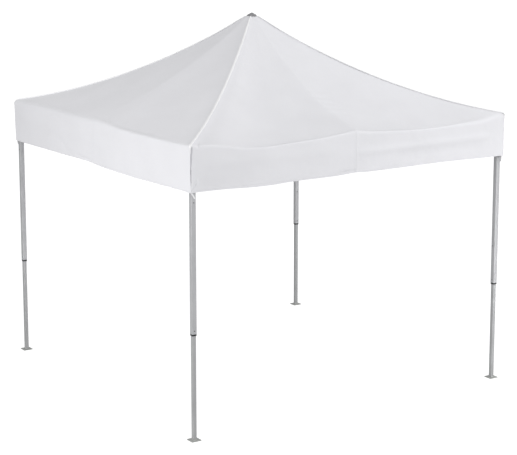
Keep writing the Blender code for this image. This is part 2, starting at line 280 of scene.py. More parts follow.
def carved(base: Shape, cutters: Sequence[Shape]) -> Shape:
    """A shape with others cut out of it. All of them are freed.

    Args:
        base: The shape that is cut.
        cutters: The shapes that are taken away.

    Returns:
        The cut shape.
    """
    helpers = []
    for shape in (base, *cutters):
        mesh = bpy.data.meshes.new("helper")
        shape.to_mesh(mesh)
        shape.free()
        helpers.append(bpy.data.objects.new("helper", mesh))
        bpy.context.scene.collection.objects.link(helpers[-1])
    for cutter in helpers[1:]:
        boolean = helpers[0].modifiers.new("Cut", "BOOLEAN")
        boolean.operation = "DIFFERENCE"
        boolean.object = cutter
    bpy.context.view_layer.update()
    evaluated = helpers[0].evaluated_get(bpy.context.evaluated_depsgraph_get())
    whole = bmesh.new()
    whole.from_mesh(evaluated.to_mesh())
    evaluated.to_mesh_clear()
    for helper in helpers:
        bpy.data.meshes.remove(helper.data)
    return whole


def softened(node: str, width: float, segments: int = 2) -> Shape:
    """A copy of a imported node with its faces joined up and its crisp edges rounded.

    Args:
        node: The node's name.
        width: The edges' rounding.
        segments: Steps of the rounding.

    Returns:
        The rounded copy.
    """
    shape = bmesh.new()
    shape.from_mesh(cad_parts[node].data)
    bmesh.ops.remove_doubles(shape, verts=shape.verts, dist=MILLIMETRE / 50)
    bmesh.ops.dissolve_limit(shape, angle_limit=math.radians(1), verts=shape.verts, edges=shape.edges)
    crisp = [e for e in shape.edges if e.is_manifold and e.calc_face_angle() > SMOOTH_ANGLE]
    bevel(shape, crisp, width, segments)
    return shape


# Shader nodes


class Wiring:
    """A node tree, with short ways to add nodes and join them."""

    def __init__(self, tree: bpy.types.NodeTree) -> None:
        """Keep the tree that nodes go into."""
        self.tree = tree

    def add(self, kind: str, **settings: object) -> bpy.types.Node:
        """Add a node of a kind with its settings."""
        node = self.tree.nodes.new(kind)
        for name, value in settings.items():
            setattr(node, name, value)
        return node

    def feed(self, socket: Socket, value: object) -> None:
        """Join a socket to another, or set its plain value."""
        if isinstance(value, Socket):
            self.tree.links.new(value, socket)
        else:
            socket.default_value = value

    def math(self, operation: str, *values: Number, clamp: bool = False) -> Socket:
        """The result of a Math node."""
        node = self.add("ShaderNodeMath", operation=operation, use_clamp=clamp)
        for socket, value in zip(node.inputs, values):
            self.feed(socket, value)
        return node.outputs[0]

    def mix(self, factor: Number, first: object, second: object) -> Socket:
        """A colour between two colours."""
        node = self.add("ShaderNodeMix", data_type="RGBA")
        for index, value in ((0, factor), (6, first), (7, second)):
            self.feed(node.inputs[index], value)
        return node.outputs[2]

    def remap(self, value: Number, low: float, high: float, first: float, last: float) -> Socket:
        """A value moved from one range to another, and kept inside it."""
        node = self.add("ShaderNodeMapRange")
        for socket, number in zip(node.inputs, (value, low, high, first, last)):
            self.feed(socket, number)
        return node.outputs[0]

    def noise(self, vector: Socket, scale: Number, detail: float = 2.0) -> Socket:
        """The strength of a noise texture."""
        node = self.add("ShaderNodeTexNoise")
        self.feed(node.inputs["Vector"], vector)
        self.feed(node.inputs["Scale"], scale)
        self.feed(node.inputs["Detail"], detail)
        return node.outputs[0]

    def stretched(self, vector: Socket, scale: Sequence[float]) -> Socket:
        """A vector stretched by its own scale along each axis."""
        node = self.add("ShaderNodeMapping")
        self.feed(node.inputs["Vector"], vector)
        self.feed(node.inputs["Scale"], scale)
        return node.outputs[0]

    def parts(self, vector: Socket) -> tuple[Socket, Socket, Socket]:
        """The three parts of a vector."""
        node = self.add("ShaderNodeSeparateXYZ")
        self.feed(node.inputs[0], vector)
        return node.outputs[0], node.outputs[1], node.outputs[2]

    def bump(self, height: Socket, distance: float, normal: Socket | None = None) -> Socket:
        """A normal that a height bends."""
        node = self.add("ShaderNodeBump")
        self.feed(node.inputs["Height"], height)
        self.feed(node.inputs["Distance"], distance)
        if normal is not None:
            self.feed(node.inputs["Normal"], normal)
        return node.outputs[0]

    def group(self, tree: bpy.types.NodeTree, **values: object) -> bpy.types.Node:
        """Place a node group with its own values."""
        node = self.add("ShaderNodeGroup", node_tree=tree)
        for name, value in values.items():
            self.feed(node.inputs[name.replace("_", " ")], value)
        return node


@dataclass(frozen=True)
class Effect:
    """A shader node group that several finishes share."""

    name: str
    inputs: tuple[str, ...]
    outputs: tuple[str, ...]
    build: Callable[[Wiring, dict[str, Socket]], dict[str, Socket]]

    def tree(self) -> bpy.types.NodeTree:
        """The group's tree, built the first time it is asked for."""
        found = bpy.data.node_groups.get(self.name)
        if found:
            return found
        tree = bpy.data.node_groups.new(self.name, "ShaderNodeTree")
        for name in self.inputs:
            kind = "NodeSocketVector" if name == "Vector" else "NodeSocketFloat"
            tree.interface.new_socket(name, in_out="INPUT", socket_type=kind)
        for name in self.outputs:
            tree.interface.new_socket(name, in_out="OUTPUT", socket_type="NodeSocketFloat")
        wiring = Wiring(tree)
        entry = wiring.add("NodeGroupInput")
        ending = wiring.add("NodeGroupOutput")
        results = self.build(wiring, {name: entry.outputs[name] for name in self.inputs})
        for name, socket in results.items():
            tree.links.new(socket, ending.inputs[name])
        return tree


def plain_weave(w: Wiring, given: dict[str, Socket]) -> dict[str, Socket]:
    """Over and under threads of a woven cloth, and the small differences between them."""
    across, along, _ = w.parts(given["Vector"])
    across = w.math("MULTIPLY", across, given["Threads"])
    along = w.math("MULTIPLY", along, given["Threads"])
    warp = w.math("ABSOLUTE", w.math("SINE", w.math("MULTIPLY", across, math.pi)))
    weft = w.math("ABSOLUTE", w.math("SINE", w.math("MULTIPLY", along, math.pi)))
    cell = w.math("ADD", w.math("FLOOR", across), w.math("FLOOR", along))
    over = w.math("PINGPONG", cell, 1.0)
    height = w.math("ADD", w.math("MULTIPLY", over, warp),
                    w.math("MULTIPLY", w.math("SUBTRACT", 1.0, over), weft))
    slub = w.noise(w.stretched(given["Vector"], (900.0, 14.0, 1.0)), 1.0)
    return {"Height": height, "Slub": slub}


def stitch_row(w: Wiring, given: dict[str, Socket]) -> dict[str, Socket]:
    """A row of short stitches at a distance from an edge or seam."""
    off_line = w.math("ABSOLUTE", w.math("SUBTRACT", given["Distance"], given["Offset"]))
    on_line = w.remap(off_line, 0.0004, 0.0009, 1.0, 0.0)
    step = w.math("FRACT", w.math("DIVIDE", given["Along"], given["Pitch"]))
    thread = w.remap(w.math("PINGPONG", step, 0.5), 0.10, 0.16, 0.0, 1.0)
    return {"Mask": w.math("MULTIPLY", on_line, thread)}


def crumple(w: Wiring, given: dict[str, Socket]) -> dict[str, Socket]:
    """Fold marks and soft dents of cloth that was packed in a bag."""
    soft = w.noise(given["Vector"], given["Scale"], 3.0)
    ridges = w.math("ABSOLUTE", w.math("SUBTRACT", w.noise(given["Vector"], given["Scale"], 4.0), 0.5))
    height = w.math("SUBTRACT", soft, w.math("MULTIPLY", ridges, given["Sharpness"]))
    return {"Height": height, "Tone": soft}


def drawn_metal(w: Wiring, given: dict[str, Socket]) -> dict[str, Socket]:
    """Fine lines along a drawn tube and slow cloudy changes of its coating."""
    lines = w.noise(w.stretched(given["Vector"], (900.0, 900.0, 9.0)), 1.0, 3.0)
    clouds = w.noise(given["Vector"], given["Clouds"], 3.0)
    return {"Lines": lines, "Clouds": clouds}


def scuffs(w: Wiring, given: dict[str, Socket]) -> dict[str, Socket]:
    """Thin rubbed marks where one piece slides or stands against another."""
    field_of_marks = w.noise(w.stretched(given["Vector"], (260.0, 260.0, 22.0)), 1.0, 4.0)
    patches = w.noise(given["Vector"], 19.0, 2.0)
    marks = w.remap(field_of_marks, 0.62, 0.68, 0.0, 1.0)
    where = w.remap(patches, 0.48, 0.62, 0.0, 1.0)
    amount = w.math("MULTIPLY", w.math("MULTIPLY", marks, where), given["Amount"])
    return {"Mask": amount}


def ground_dust(w: Wiring, given: dict[str, Socket]) -> dict[str, Socket]:
    """Dust that thins out with height over the ground."""
    _, _, height = w.parts(given["Vector"])
    low = w.math("SUBTRACT", 1.0, w.math("DIVIDE", height, given["Reach"], clamp=True), clamp=True)
    spots = w.noise(given["Vector"], 70.0, 5.0)
    return {"Mask": w.math("MULTIPLY", w.math("POWER", low, 2.0), w.remap(spots, 0.35, 0.7, 0.0, 1.0))}


def moulded_grain(w: Wiring, given: dict[str, Socket]) -> dict[str, Socket]:
    """Fine pebbled grain of moulded plastic and faint flow marks."""
    pebbles = w.add("ShaderNodeTexVoronoi")
    w.feed(pebbles.inputs["Vector"], given["Vector"])
    w.feed(pebbles.inputs["Scale"], given["Grain"])
    flow = w.noise(w.stretched(given["Vector"], (30.0, 30.0, 90.0)), 1.0, 2.0)
    return {"Height": pebbles.outputs["Distance"], "Flow": flow}


WEAVE = Effect("weave", ("Vector", "Threads"), ("Height", "Slub"), plain_weave)
STITCHES = Effect("stitches", ("Distance", "Along", "Offset", "Pitch"), ("Mask",), stitch_row)
CRUMPLE = Effect("crumple", ("Vector", "Scale", "Sharpness"), ("Height", "Tone"), crumple)
DRAWN = Effect("drawn_metal", ("Vector", "Clouds"), ("Lines", "Clouds"), drawn_metal)
SCUFFS = Effect("scuffs", ("Vector", "Amount"), ("Mask",), scuffs)
DUST = Effect("ground_dust", ("Vector", "Reach"), ("Mask",), ground_dust)
GRAIN = Effect("moulded_grain", ("Vector", "Grain"), ("Height", "Flow"), moulded_grain)


# Finishes


@dataclass(frozen=True)
class Finish:
    """What a piece is made of, and the record's slot that it takes its finish from."""

    name: str
    slot: str
    colour: tuple[float, float, float]
    roughness: float

    def material(self) -> bpy.types.Material:
        """The finish's material, built the first time it is asked for."""
        found = bpy.data.materials.get(self.name)
        if found:
            return found
        material = bpy.data.materials.new(self.name)
        material.use_nodes = True
        self.dress(Wiring(material.node_tree), material.node_tree.nodes["Principled BSDF"])
        return material

    def shade(self, share: float) -> tuple[float, float, float, float]:
        """The finish's colour, darker or lighter by a share."""
        return (*(min(1.0, part * share) for part in self.colour), 1.0)

    def dress(self, w: Wiring, shader: bpy.types.Node) -> None:
        """Join the finish's nodes to its shader."""
        raise NotImplementedError


@dataclass(frozen=True)
class Cloth(Finish):
    """Woven cloth with sewn seams, which reads the canopy's own UV map and seam distances."""

    threads: float = 1400.0
    stitched: bool = True
    sheen: float = 0.15

    def dress(self, w: Wiring, shader: bpy.types.Node) -> None:
        """Weave, stitches and fold marks."""
        uv = w.add("ShaderNodeUVMap", uv_map="cloth").outputs[0]
        place = w.add("ShaderNodeTexCoord").outputs["Object"]
        across, along, _ = w.parts(uv)
        weave = w.group(WEAVE.tree(), Vector=uv, Threads=self.threads)
        folds = w.group(CRUMPLE.tree(), Vector=place, Scale=3.2, Sharpness=1.4)
        dents = w.group(CRUMPLE.tree(), Vector=place, Scale=14.0, Sharpness=0.6)
        base = w.mix(w.remap(folds.outputs["Tone"], 0.3, 0.7, 0.0, 1.0), self.shade(0.97), self.shade(1.0))
        base = w.mix(w.remap(weave.outputs["Slub"], 0.45, 0.75, 0.0, 0.12), base, self.shade(0.9))
        normal = w.bump(folds.outputs["Height"], 0.0035)
        normal = w.bump(dents.outputs["Height"], 0.0009, normal)
        normal = w.bump(weave.outputs["Height"], 0.00008, normal)
        if self.stitched:
            seam = w.add("ShaderNodeAttribute", attribute_name="seam").outputs["Fac"]
            rows = [
                w.group(STITCHES.tree(), Distance=along, Along=across, Offset=0.020, Pitch=0.004),
                w.group(STITCHES.tree(), Distance=seam, Along=along, Offset=0.012, Pitch=0.004),
            ]
            thread = w.math("MAXIMUM", rows[0].outputs["Mask"], rows[1].outputs["Mask"])
            base = w.mix(w.math("MULTIPLY", thread, 0.5), base, self.shade(0.72))
            normal = w.bump(w.math("SUBTRACT", 1.0, thread), 0.0003, normal)
        w.feed(shader.inputs["Base Color"], base)
        w.feed(shader.inputs["Normal"], normal)
        w.feed(shader.inputs["Roughness"], self.roughness)
        w.feed(shader.inputs["Sheen Weight"], self.sheen)
        w.feed(shader.inputs["Sheen Roughness"], 0.4)
        w.feed(shader.inputs["Specular IOR Level"], 0.25)


@dataclass(frozen=True)
class Metal(Finish):
    """Drawn or pressed steel with its coating."""

    metallic: float = 0.85
    clouds: float = 9.0
    line_depth: float = 0.00003
    scuffed: float = 0.5
    dust_reach: float = 0.16

    def dress(self, w: Wiring, shader: bpy.types.Node) -> None:
        """Drawn lines, cloudy coating, rubbed marks and dust near the ground."""
        place = w.add("ShaderNodeTexCoord").outputs["Object"]
        drawn = w.group(DRAWN.tree(), Vector=place, Clouds=self.clouds)
        marks = w.group(SCUFFS.tree(), Vector=place, Amount=self.scuffed).outputs["Mask"]
        dust = w.group(DUST.tree(), Vector=place, Reach=self.dust_reach).outputs["Mask"]
        clouds = w.remap(drawn.outputs["Clouds"], 0.3, 0.7, 0.0, 1.0)
        base = w.mix(clouds, self.shade(0.93), self.shade(1.04))
        base = w.mix(marks, base, self.shade(0.72))
        base = w.mix(w.math("MULTIPLY", dust, 0.35), base, (0.42, 0.39, 0.35, 1.0))
        rough = w.math("ADD", self.roughness, w.math("MULTIPLY", drawn.outputs["Lines"], 0.10))
        rough = w.math("ADD", rough, w.math("MULTIPLY", dust, 0.3), clamp=True)
        w.feed(shader.inputs["Base Color"], base)
        w.feed(shader.inputs["Roughness"], rough)
        w.feed(shader.inputs["Metallic"], self.metallic)
        w.feed(shader.inputs["Normal"], w.bump(drawn.outputs["Lines"], self.line_depth))


@dataclass(frozen=True)
class Plastic(Finish):
    """Moulded plastic."""

    grain: float = 1500.0
    grain_depth: float = 0.00006
    scuffed: float = 0.4

    def dress(self, w: Wiring, shader: bpy.types.Node) -> None:
        """Pebbled grain, flow marks and rubbed places."""
        place = w.add("ShaderNodeTexCoord").outputs["Object"]
        grain = w.group(GRAIN.tree(), Vector=place, Grain=self.grain)
        marks = w.group(SCUFFS.tree(), Vector=place, Amount=self.scuffed).outputs["Mask"]
        flow = w.remap(grain.outputs["Flow"], 0.3, 0.7, 0.0, 1.0)
        base = w.mix(flow, self.shade(0.9), self.shade(1.1))
        base = w.mix(marks, base, self.shade(1.5))
        rough = w.math("ADD", self.roughness, w.math("MULTIPLY", marks, 0.2), clamp=True)
        w.feed(shader.inputs["Base Color"], base)
        w.feed(shader.inputs["Roughness"], rough)
        w.feed(shader.inputs["Normal"], w.bump(grain.outputs["Height"], self.grain_depth))


CANOPY_CLOTH = Cloth("canopy_cloth", "fabric", (0.83, 0.83, 0.86), 0.85)
WELT_CLOTH = Cloth("welt_cloth", "fabric", (0.94, 0.94, 0.95), 0.7, 900.0, False, 0.1)
# Grey painted shade: the strap ends at three corners get this darkened copy of the white strap cloth, for
# the shade that they hang in.
SHADE_GREY_WEBBING = Cloth("shade_grey_webbing", "fabric", (0.50, 0.50, 0.52), 0.9, 500.0, False, 0.3)
SILVER_TUBE = Metal("silver_tube", "leg", (0.54, 0.545, 0.56), 0.42, 0.4)
INNER_TUBE_STEEL = Metal("inner_tube_steel", "leg", (0.48, 0.487, 0.495), 0.42, 0.4)
BAR_STEEL = Metal("bar_steel", "bar", (0.60, 0.61, 0.62), 0.42)
FOOT_STEEL = Metal("foot_steel", "foot", (0.47, 0.485, 0.475), 0.5, 0.5, 30.0, 0.00006, 0.8)
NICKEL = Metal("nickel", "leg", (0.50, 0.50, 0.50), 0.25, 1.0, 20.0, 0.00001, 0.2)
BUTTON_STEEL = Metal("button_steel", "leg", (0.16, 0.16, 0.165), 0.35, 0.8, 20.0, 0.00001, 0.2)
DARK_PLASTIC = Plastic("dark_plastic", "collar", (0.015, 0.015, 0.017), 0.6)
JOINT_PLASTIC = Plastic("joint_plastic", "joint", (0.26, 0.27, 0.28), 0.5)
CAP_PLASTIC = Plastic("cap_plastic", "cap", (0.26, 0.26, 0.27), 0.5)


# Canopy


@dataclass(frozen=True)
class Fold:
    """A soft crease or ridge in the cloth of one side."""

    side: Side
    start: tuple[float, float]
    end: tuple[float, float]
    width: float
    depth: float

    def lift(self, x: float, up: float) -> float:
        """How far the fold moves the cloth outwards.

        Args:
            x: Metres along the side from its middle.
            up: Metres up the cloth from the hem.

        Returns:
            The move in metres, outwards when positive.
        """
        run_x, run_up = self.end[0] - self.start[0], self.end[1] - self.start[1]
        off_x, off_up = x - self.start[0], up - self.start[1]
        share = (off_x * run_x + off_up * run_up) / (run_x * run_x + run_up * run_up)
        share = min(1.0, max(0.0, share))
        reach = math.hypot(off_x - run_x * share, off_up - run_up * share) / self.width
        return self.depth * math.exp(-reach * reach) if reach < 3.0 else 0.0


@dataclass(frozen=True)
class SideCut:
    """How the cloth of one side lies between its corners.

    The arch is how far the roof's middle fold stands over the hips half-way down, and the sag is how
    far each half of the roof hangs at the eave between that fold and a hip.
    """

    eave: tuple[tuple[float, float], ...]
    hem: tuple[tuple[float, float], ...]
    roundness: tuple[tuple[float, float], ...]
    arch: float
    sag: float
    lapped: bool = True


@dataclass(frozen=True)
class CornerCut:
    """How the cloth lies at one corner: its round top, hem, tuck, gaping seam and its top's height."""

    roundness: float
    hem: float
    tuck: float
    gape: float
    top: float = 2.240


FRONT_CUT = SideCut(
    eave=((-1.43, 2.235), (-1.30, 2.231), (-1.15, 2.208), (-1.0, 2.187), (-0.80, 2.180), (-0.60, 2.190),
          (-0.35, 2.199), (-0.13, 2.216), (-0.01, 2.225), (0.12, 2.213), (0.34, 2.203), (0.58, 2.195),
          (0.80, 2.197), (1.05, 2.205), (1.28, 2.217), (1.43, 2.242)),
    hem=((-1.20, 1.886), (-1.0, 1.880), (-0.79, 1.880), (-0.60, 1.888), (-0.20, 1.891), (-0.01, 1.901),
         (0.10, 1.896), (0.45, 1.899), (0.90, 1.904), (1.20, 1.901)),
    roundness=((-1.2, 0.028), (-0.5, 0.024), (0.9, 0.028), (1.38, 0.042)),
    arch=0.0,
    sag=0.016,
)
LEFT_CUT = SideCut(
    eave=((-1.40, 2.246), (-1.10, 2.249), (-0.70, 2.250), (-0.45, 2.247), (-0.05, 2.246), (0.20, 2.244),
          (0.40, 2.232), (0.85, 2.229), (1.10, 2.231), (1.43, 2.235)),
    hem=((-1.20, 1.892), (-0.55, 1.896), (-0.08, 1.899), (0.10, 1.888), (0.60, 1.881), (0.95, 1.885),
         (1.35, 1.890)),
    roundness=((-1.3, 0.055), (-0.3, 0.050), (0.4, 0.028), (1.2, 0.024)),
    arch=0.040,
    sag=0.006,
    lapped=False,
)
RIGHT_CUT = SideCut(
    eave=((-1.43, 2.235), (-1.27, 2.218), (-0.70, 2.194), (0.03, 2.220), (0.62, 2.192), (1.27, 2.216),
          (1.43, 2.235)),
    hem=((-0.90, 1.888), (0.0, 1.898), (0.95, 1.885)),
    roundness=((-1.2, 0.026), (0.2, 0.026), (1.2, 0.026)),
    arch=0.010,
    sag=0.014,
)
CUTS = {Side.FRONT: FRONT_CUT, Side.RIGHT: RIGHT_CUT, Side.BACK: RIGHT_CUT, Side.LEFT: LEFT_CUT}
CORNER_CUTS = {
    Corner.FRONT_LEFT: CornerCut(0.018, 1.888, 0.002, 0.022),
    Corner.FRONT_RIGHT: CornerCut(0.020, 1.898, 0.0, 0.0, 2.250),
    Corner.BACK_RIGHT: CornerCut(0.026, 1.890, 0.010, 0.010),
    Corner.BACK_LEFT: CornerCut(0.040, 1.892, 0.004, 0.0, 2.246),
}
FOLDS = (
    Fold(Side.FRONT, (0.05, 0.175), (1.30, 0.190), 0.030, 0.006),
    Fold(Side.FRONT, (0.40, 0.110), (1.20, 0.120), 0.040, -0.003),
    Fold(Side.FRONT, (-1.36, -0.020), (-1.10, 0.010), 0.120, -0.016),
    Fold(Side.FRONT, (-1.47, -0.010), (-1.40, 0.000), 0.100, -0.003),
    Fold(Side.FRONT, (-1.30, 0.215), (-0.30, 0.205), 0.050, 0.004),
    Fold(Side.FRONT, (-0.16, 0.033), (-0.02, 0.036), 0.007, -0.007),
    Fold(Side.FRONT, (-1.430, 0.345), (-1.424, 0.390), 0.008, -0.007),
    Fold(Side.FRONT, (-1.488, 0.030), (-1.440, 0.085), 0.006, 0.010),
    Fold(Side.FRONT, (-1.30, 0.430), (-0.85, 0.420), 0.030, 0.003),
    Fold(Side.FRONT, (-1.20, 0.520), (-0.70, 0.505), 0.035, 0.003),
    Fold(Side.FRONT, (0.01, 0.72), (0.13, 0.70), 0.020, -0.004),
    Fold(Side.FRONT, (0.01, 0.80), (0.15, 0.79), 0.020, -0.004),
    Fold(Side.FRONT, (0.01, 0.88), (0.16, 0.86), 0.020, -0.004),
    Fold(Side.FRONT, (0.01, 0.96), (0.13, 0.95), 0.020, -0.004),
    Fold(Side.FRONT, (0.01, 1.05), (0.10, 1.04), 0.020, -0.003),
    Fold(Side.LEFT, (-1.25, 0.336), (-0.62, 0.326), 0.010, -0.004),
    Fold(Side.LEFT, (-1.35, 0.24), (0.10, 0.20), 0.060, 0.005),
    Fold(Side.LEFT, (-0.62, 0.14), (-0.45, 0.05), 0.012, -0.005),
    Fold(Side.LEFT, (-0.30, 0.045), (-0.05, 0.030), 0.008, -0.007),
)


@dataclass
class Canopy:
    """The sewn canopy: four roof panels and four valances in one sheet of cloth."""

    half: float = -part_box("valance_front")[0].y
    hem_z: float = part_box("valance_front")[0].z
    corner_z: float = 2.240
    peak_z: float = 3.030
    hip_curve: float = 0.6
    peak_opening: float = 0.040
    cloth: float = 0.0012
    slope_share: float = 1.03
    drop_power: float = 1.3
    corner_radius: float = 0.012
    corner_reach: float = 0.120
    flutes: float = 0.004
    pinch_z: float = 2.100
    gape_end_z: float = 1.925
    gape_depth: float = 0.024
    gather: float = 0.014
    gather_reach: float = 0.15
    columns: list[float] = field(default_factory=lambda: spaced((
        (-1.0, -0.982, 16), (-0.982, -0.93, 10), (-0.93, -0.012, 32), (-0.012, 0.012, 8),
        (0.012, 0.93, 32), (0.93, 0.982, 7), (0.982, 1.0, 7))))
    roof_steps: list[float] = field(default_factory=lambda: spaced((
        (0.0, 0.10, 6), (0.10, 0.42, 12), (0.42, 0.80, 28), (0.80, 1.0, 9))))
    eave_steps: list[float] = field(default_factory=lambda: spaced(((0.0, 1.0, 9),)))
    valance_steps: list[float] = field(default_factory=lambda: spaced(((0.0, 1.0, 22),)))
    hem_heights: tuple[float, ...] = (0.0260, 0.0240, 0.012, 0.001, 0.0)

    def rows(self) -> list[tuple[Zone, float]]:
        """Every row of the cloth from the peak to the hem band, by zone and share of that zone."""
        roof = [(Zone.ROOF, share) for share in self.roof_steps]
        eave = [(Zone.EAVE, share) for share in self.eave_steps[1:]]
        valance = [(Zone.VALANCE, share) for share in self.valance_steps[1:]]
        return roof + eave + valance

    def between_corners(self, side: Side, stops: Sequence[tuple[float, float]], ends: Sequence[float],
                        across: float) -> float:
        """A side's curve, with its ends at the two corners.

        Args:
            side: Not used.
            stops: The curve's stops between the corners, in metres along the side.
            ends: The curve's heights at the left and the right corner.
            across: Place across the side, from -1 at its left corner to 1.

        Returns:
            The curve's height there.
        """
        whole = ((-self.half, ends[0]), *stops, (self.half, ends[1]))
        return through(whole, across * self.half)

    def corners(self, side: Side) -> tuple[CornerCut, CornerCut]:
        """The cuts of a side's left and right corner."""
        return CORNER_CUTS[Corner(side.value)], CORNER_CUTS[Corner((side.value + 1) % 4)]

    def eave_z(self, side: Side, across: float) -> float:
        """Height of a side's eave."""
        ends = [cut.top for cut in self.corners(side)]
        return self.between_corners(side, CUTS[side].eave, ends, across)

    def lowest_z(self, side: Side, across: float) -> float:
        """Height of a side's hem."""
        ends = [cut.hem for cut in self.corners(side)]
        return self.between_corners(side, CUTS[side].hem, ends, across)

    def tangent(self, side: Side, across: float) -> float:
        """How far from the eave its rounding starts."""
        ends = [cut.roundness for cut in self.corners(side)]
        return self.between_corners(side, CUTS[side].roundness, ends, across)

    def outline(self, across: float) -> Vector:
        """The plan of the side's cloth under the eave, with its rounded corners."""
        x, radius = across * self.half, self.corner_radius
        past = abs(x) - (self.half - radius)
        if past <= 0.0:
            return Vector((x, -self.half, 0.0))
        angle = math.radians(45) * past / radius
        turn = self.half - radius + radius * math.sin(angle)
        return Vector((math.copysign(turn, x), -self.half + radius * (1 - math.cos(angle)), 0.0))

    def roof_point(self, side: Side, across: float, along: float) -> Vector:
        """A point of the roof in the front side's place.

        Args:
            side: The side whose eave shapes the roof.
            across: Place across the side, from -1 at its left hip to 1.
            along: Place from 0 at the peak to 1 at the eave.

        Returns:
            The point.
        """
        cut, back, apart = CUTS[side], 1.0 - along, abs(across)
        rise = (self.peak_z - self.corner_z) * (self.hip_curve * back ** 2 + (1 - self.hip_curve) * back)
        drop = (self.corner_z - self.eave_z(side, across)) * along ** self.drop_power
        arch = 4 * cut.arch * along * back * (1 - apart) - 4 * cut.sag * along * apart * (1 - apart)
        off = along * self.half
        gather = self.gather * math.exp(-(off / self.gather_reach) ** 2) * smooth_step(off, 0.015, 0.050)
        return Vector((across * off, -off, self.corner_z + rise - drop + arch + gather))

    def plain_point(self, side: Side, across: float, zone: Zone, share: float) -> Vector:
        """A point of the smooth cloth, before folds, in the front side's place."""
        reach = self.tangent(side, across)
        edge = 1.0 - reach / self.half
        if zone is Zone.ROOF:
            first = self.peak_opening / 2 / self.half
            return self.roof_point(side, across, between(first, edge, share))
        crease = self.outline(across)
        crease.z = self.eave_z(side, across)
        below = crease - Vector((0.0, 0.0, reach))
        if zone is Zone.EAVE:
            start = self.roof_point(side, across, edge)
            return start.lerp(crease, share).lerp(crease.lerp(below, share), share)
        last = self.lowest_z(side, across) + self.hem_heights[0]
        return Vector((below.x, below.y, between(below.z, last, share)))

    def up_cloth(self, spot: Vector, zone: Zone) -> float:
        """How far up the cloth from the hem a plain point is."""
        if zone is Zone.ROOF:
            return self.corner_z - self.hem_z + (self.half + spot.y) * self.slope_share
        return spot.z - self.hem_z

    def relief(self, side: Side, x: float, up: float, zone: Zone, spot: Vector) -> float:
        """How far folds, flutes and the lapped middle seam move the cloth outwards.

        Args:
            side: The side of the tent.
            x: Metres along the side from its middle.
            up: Metres up the cloth from the hem.
            zone: The stretch of cloth.
            spot: The place in the tent, for the slow waves.

        Returns:
            The move in metres, outwards when positive.
        """
        move = sum(fold.lift(x, up) for fold in FOLDS if fold.side is side)
        if zone is Zone.ROOF:
            return move + 0.0030 * noise.noise(spot * 2.2) + 0.0012 * noise.noise(spot * 6.5)
        hang = 1.0 - smooth_step(up, 0.0, 0.34)
        wave = noise.noise(Vector((spot.x * 3.0, spot.y * 3.0, spot.z * 1.2)))
        lap = 0.0024 * (smooth_step(x, -0.013, -0.010) - smooth_step(x, -0.001, 0.002))
        lap *= CUTS[side].lapped
        return move + self.flutes * wave * (0.35 + 0.65 * hang) + 0.0012 * noise.noise(spot * 11.0) + lap

    def gape(self, side: Side, across: float, z: float) -> float:
        """How far the cloth beside a side's left corner falls in, where the corner seam gapes.

        Args:
            side: The side of the tent.
            across: Place across the side.
            z: Height over the ground.

        Returns:
            The move inwards in metres.
        """
        widest = self.corners(side)[0].gape
        if not widest or across > 0.0:
            return 0.0
        upper = smooth_step(z, self.pinch_z - 0.008, self.pinch_z + 0.012)
        width = widest * (0.45 * smooth_step(z, self.gape_end_z, self.gape_end_z + 0.06) + 0.55 * upper)
        off = self.half * (1.0 + across)
        if width < MILLIMETRE or off >= width:
            return 0.0
        depth = self.gape_depth * min(1.0, width / 0.009) * smooth_step(self.corner_z - z, 0.004, 0.03)
        wall = max(0.0, off - 0.003) / max(MILLIMETRE, width - 0.003)
        return depth * smooth_step(off, 0.0, 0.003) * (1.0 - min(1.0, wall) ** between(3.0, 1.0, upper))

    def point(self, side: Side, across: float, zone: Zone, share: float, below: float = 0.0) -> Vector:
        """A point of the finished cloth in its real place.

        Args:
            side: The side of the tent.
            across: Place across the side.
            zone: The stretch of cloth.
            share: Place down that stretch.
            below: Metres further down, in the hem band.

        Returns:
            The point.
        """
        spot = self.plain_point(side, across, zone, share) - Vector((0.0, 0.0, below))
        roof, valance = Vector((0.0, -0.26, 0.965)), Vector((0.0, -1.0, 0.0))
        if zone is Zone.EAVE:
            outward = roof.lerp(valance, share).normalized()
        else:
            outward = roof if zone is Zone.ROOF else valance
        from_corner = self.half * (1.0 - abs(across))
        up = self.up_cloth(spot, zone)
        move = self.relief(side, spot.x, up, zone, quarter_turn(side) @ spot)
        move *= smooth_step(from_corner, 0.0, 0.03)
        move -= self.gape(side, across, spot.z)
        spot = spot + outward * move
        if zone is not Zone.ROOF:
            cut = self.corners(side)[0 if across < 0.0 else 1]
            low, near = smooth_step(up, 0.24, 0.0), smooth_step(from_corner, self.corner_reach, 0.0)
            tuck = cut.tuck * low * near
            spot += Vector((-math.copysign(tuck, across), tuck, 0.0))
        return quarter_turn(side) @ spot

    def shape(self) -> Shape:
        """The whole sheet as one closed ring of cloth, with its UV map and seam distances."""
        rows = self.rows()
        hem_rows = len(self.hem_heights) - 1
        last = len(rows) + hem_rows - 1
        per_side = len(self.columns) - 1
        sheet = bmesh.new()
        bmesh.ops.create_grid(sheet, x_segments=4 * per_side, y_segments=last, size=1.0)
        uv = sheet.loops.layers.uv.new("cloth")
        seam = sheet.verts.layers.float.new("seam")
        places = {
            vert: (round((vert.co.x + 1) * 2 * per_side), round((1 - vert.co.y) * last / 2))
            for vert in sheet.verts
        }

        def row_of(row: int) -> tuple[Zone, float, float]:
            """The zone, the share and the depth in the hem band of a grid row."""
            past = max(0, row - len(rows) + 1)
            return (*rows[row - past], self.hem_heights[0] - self.hem_heights[past])

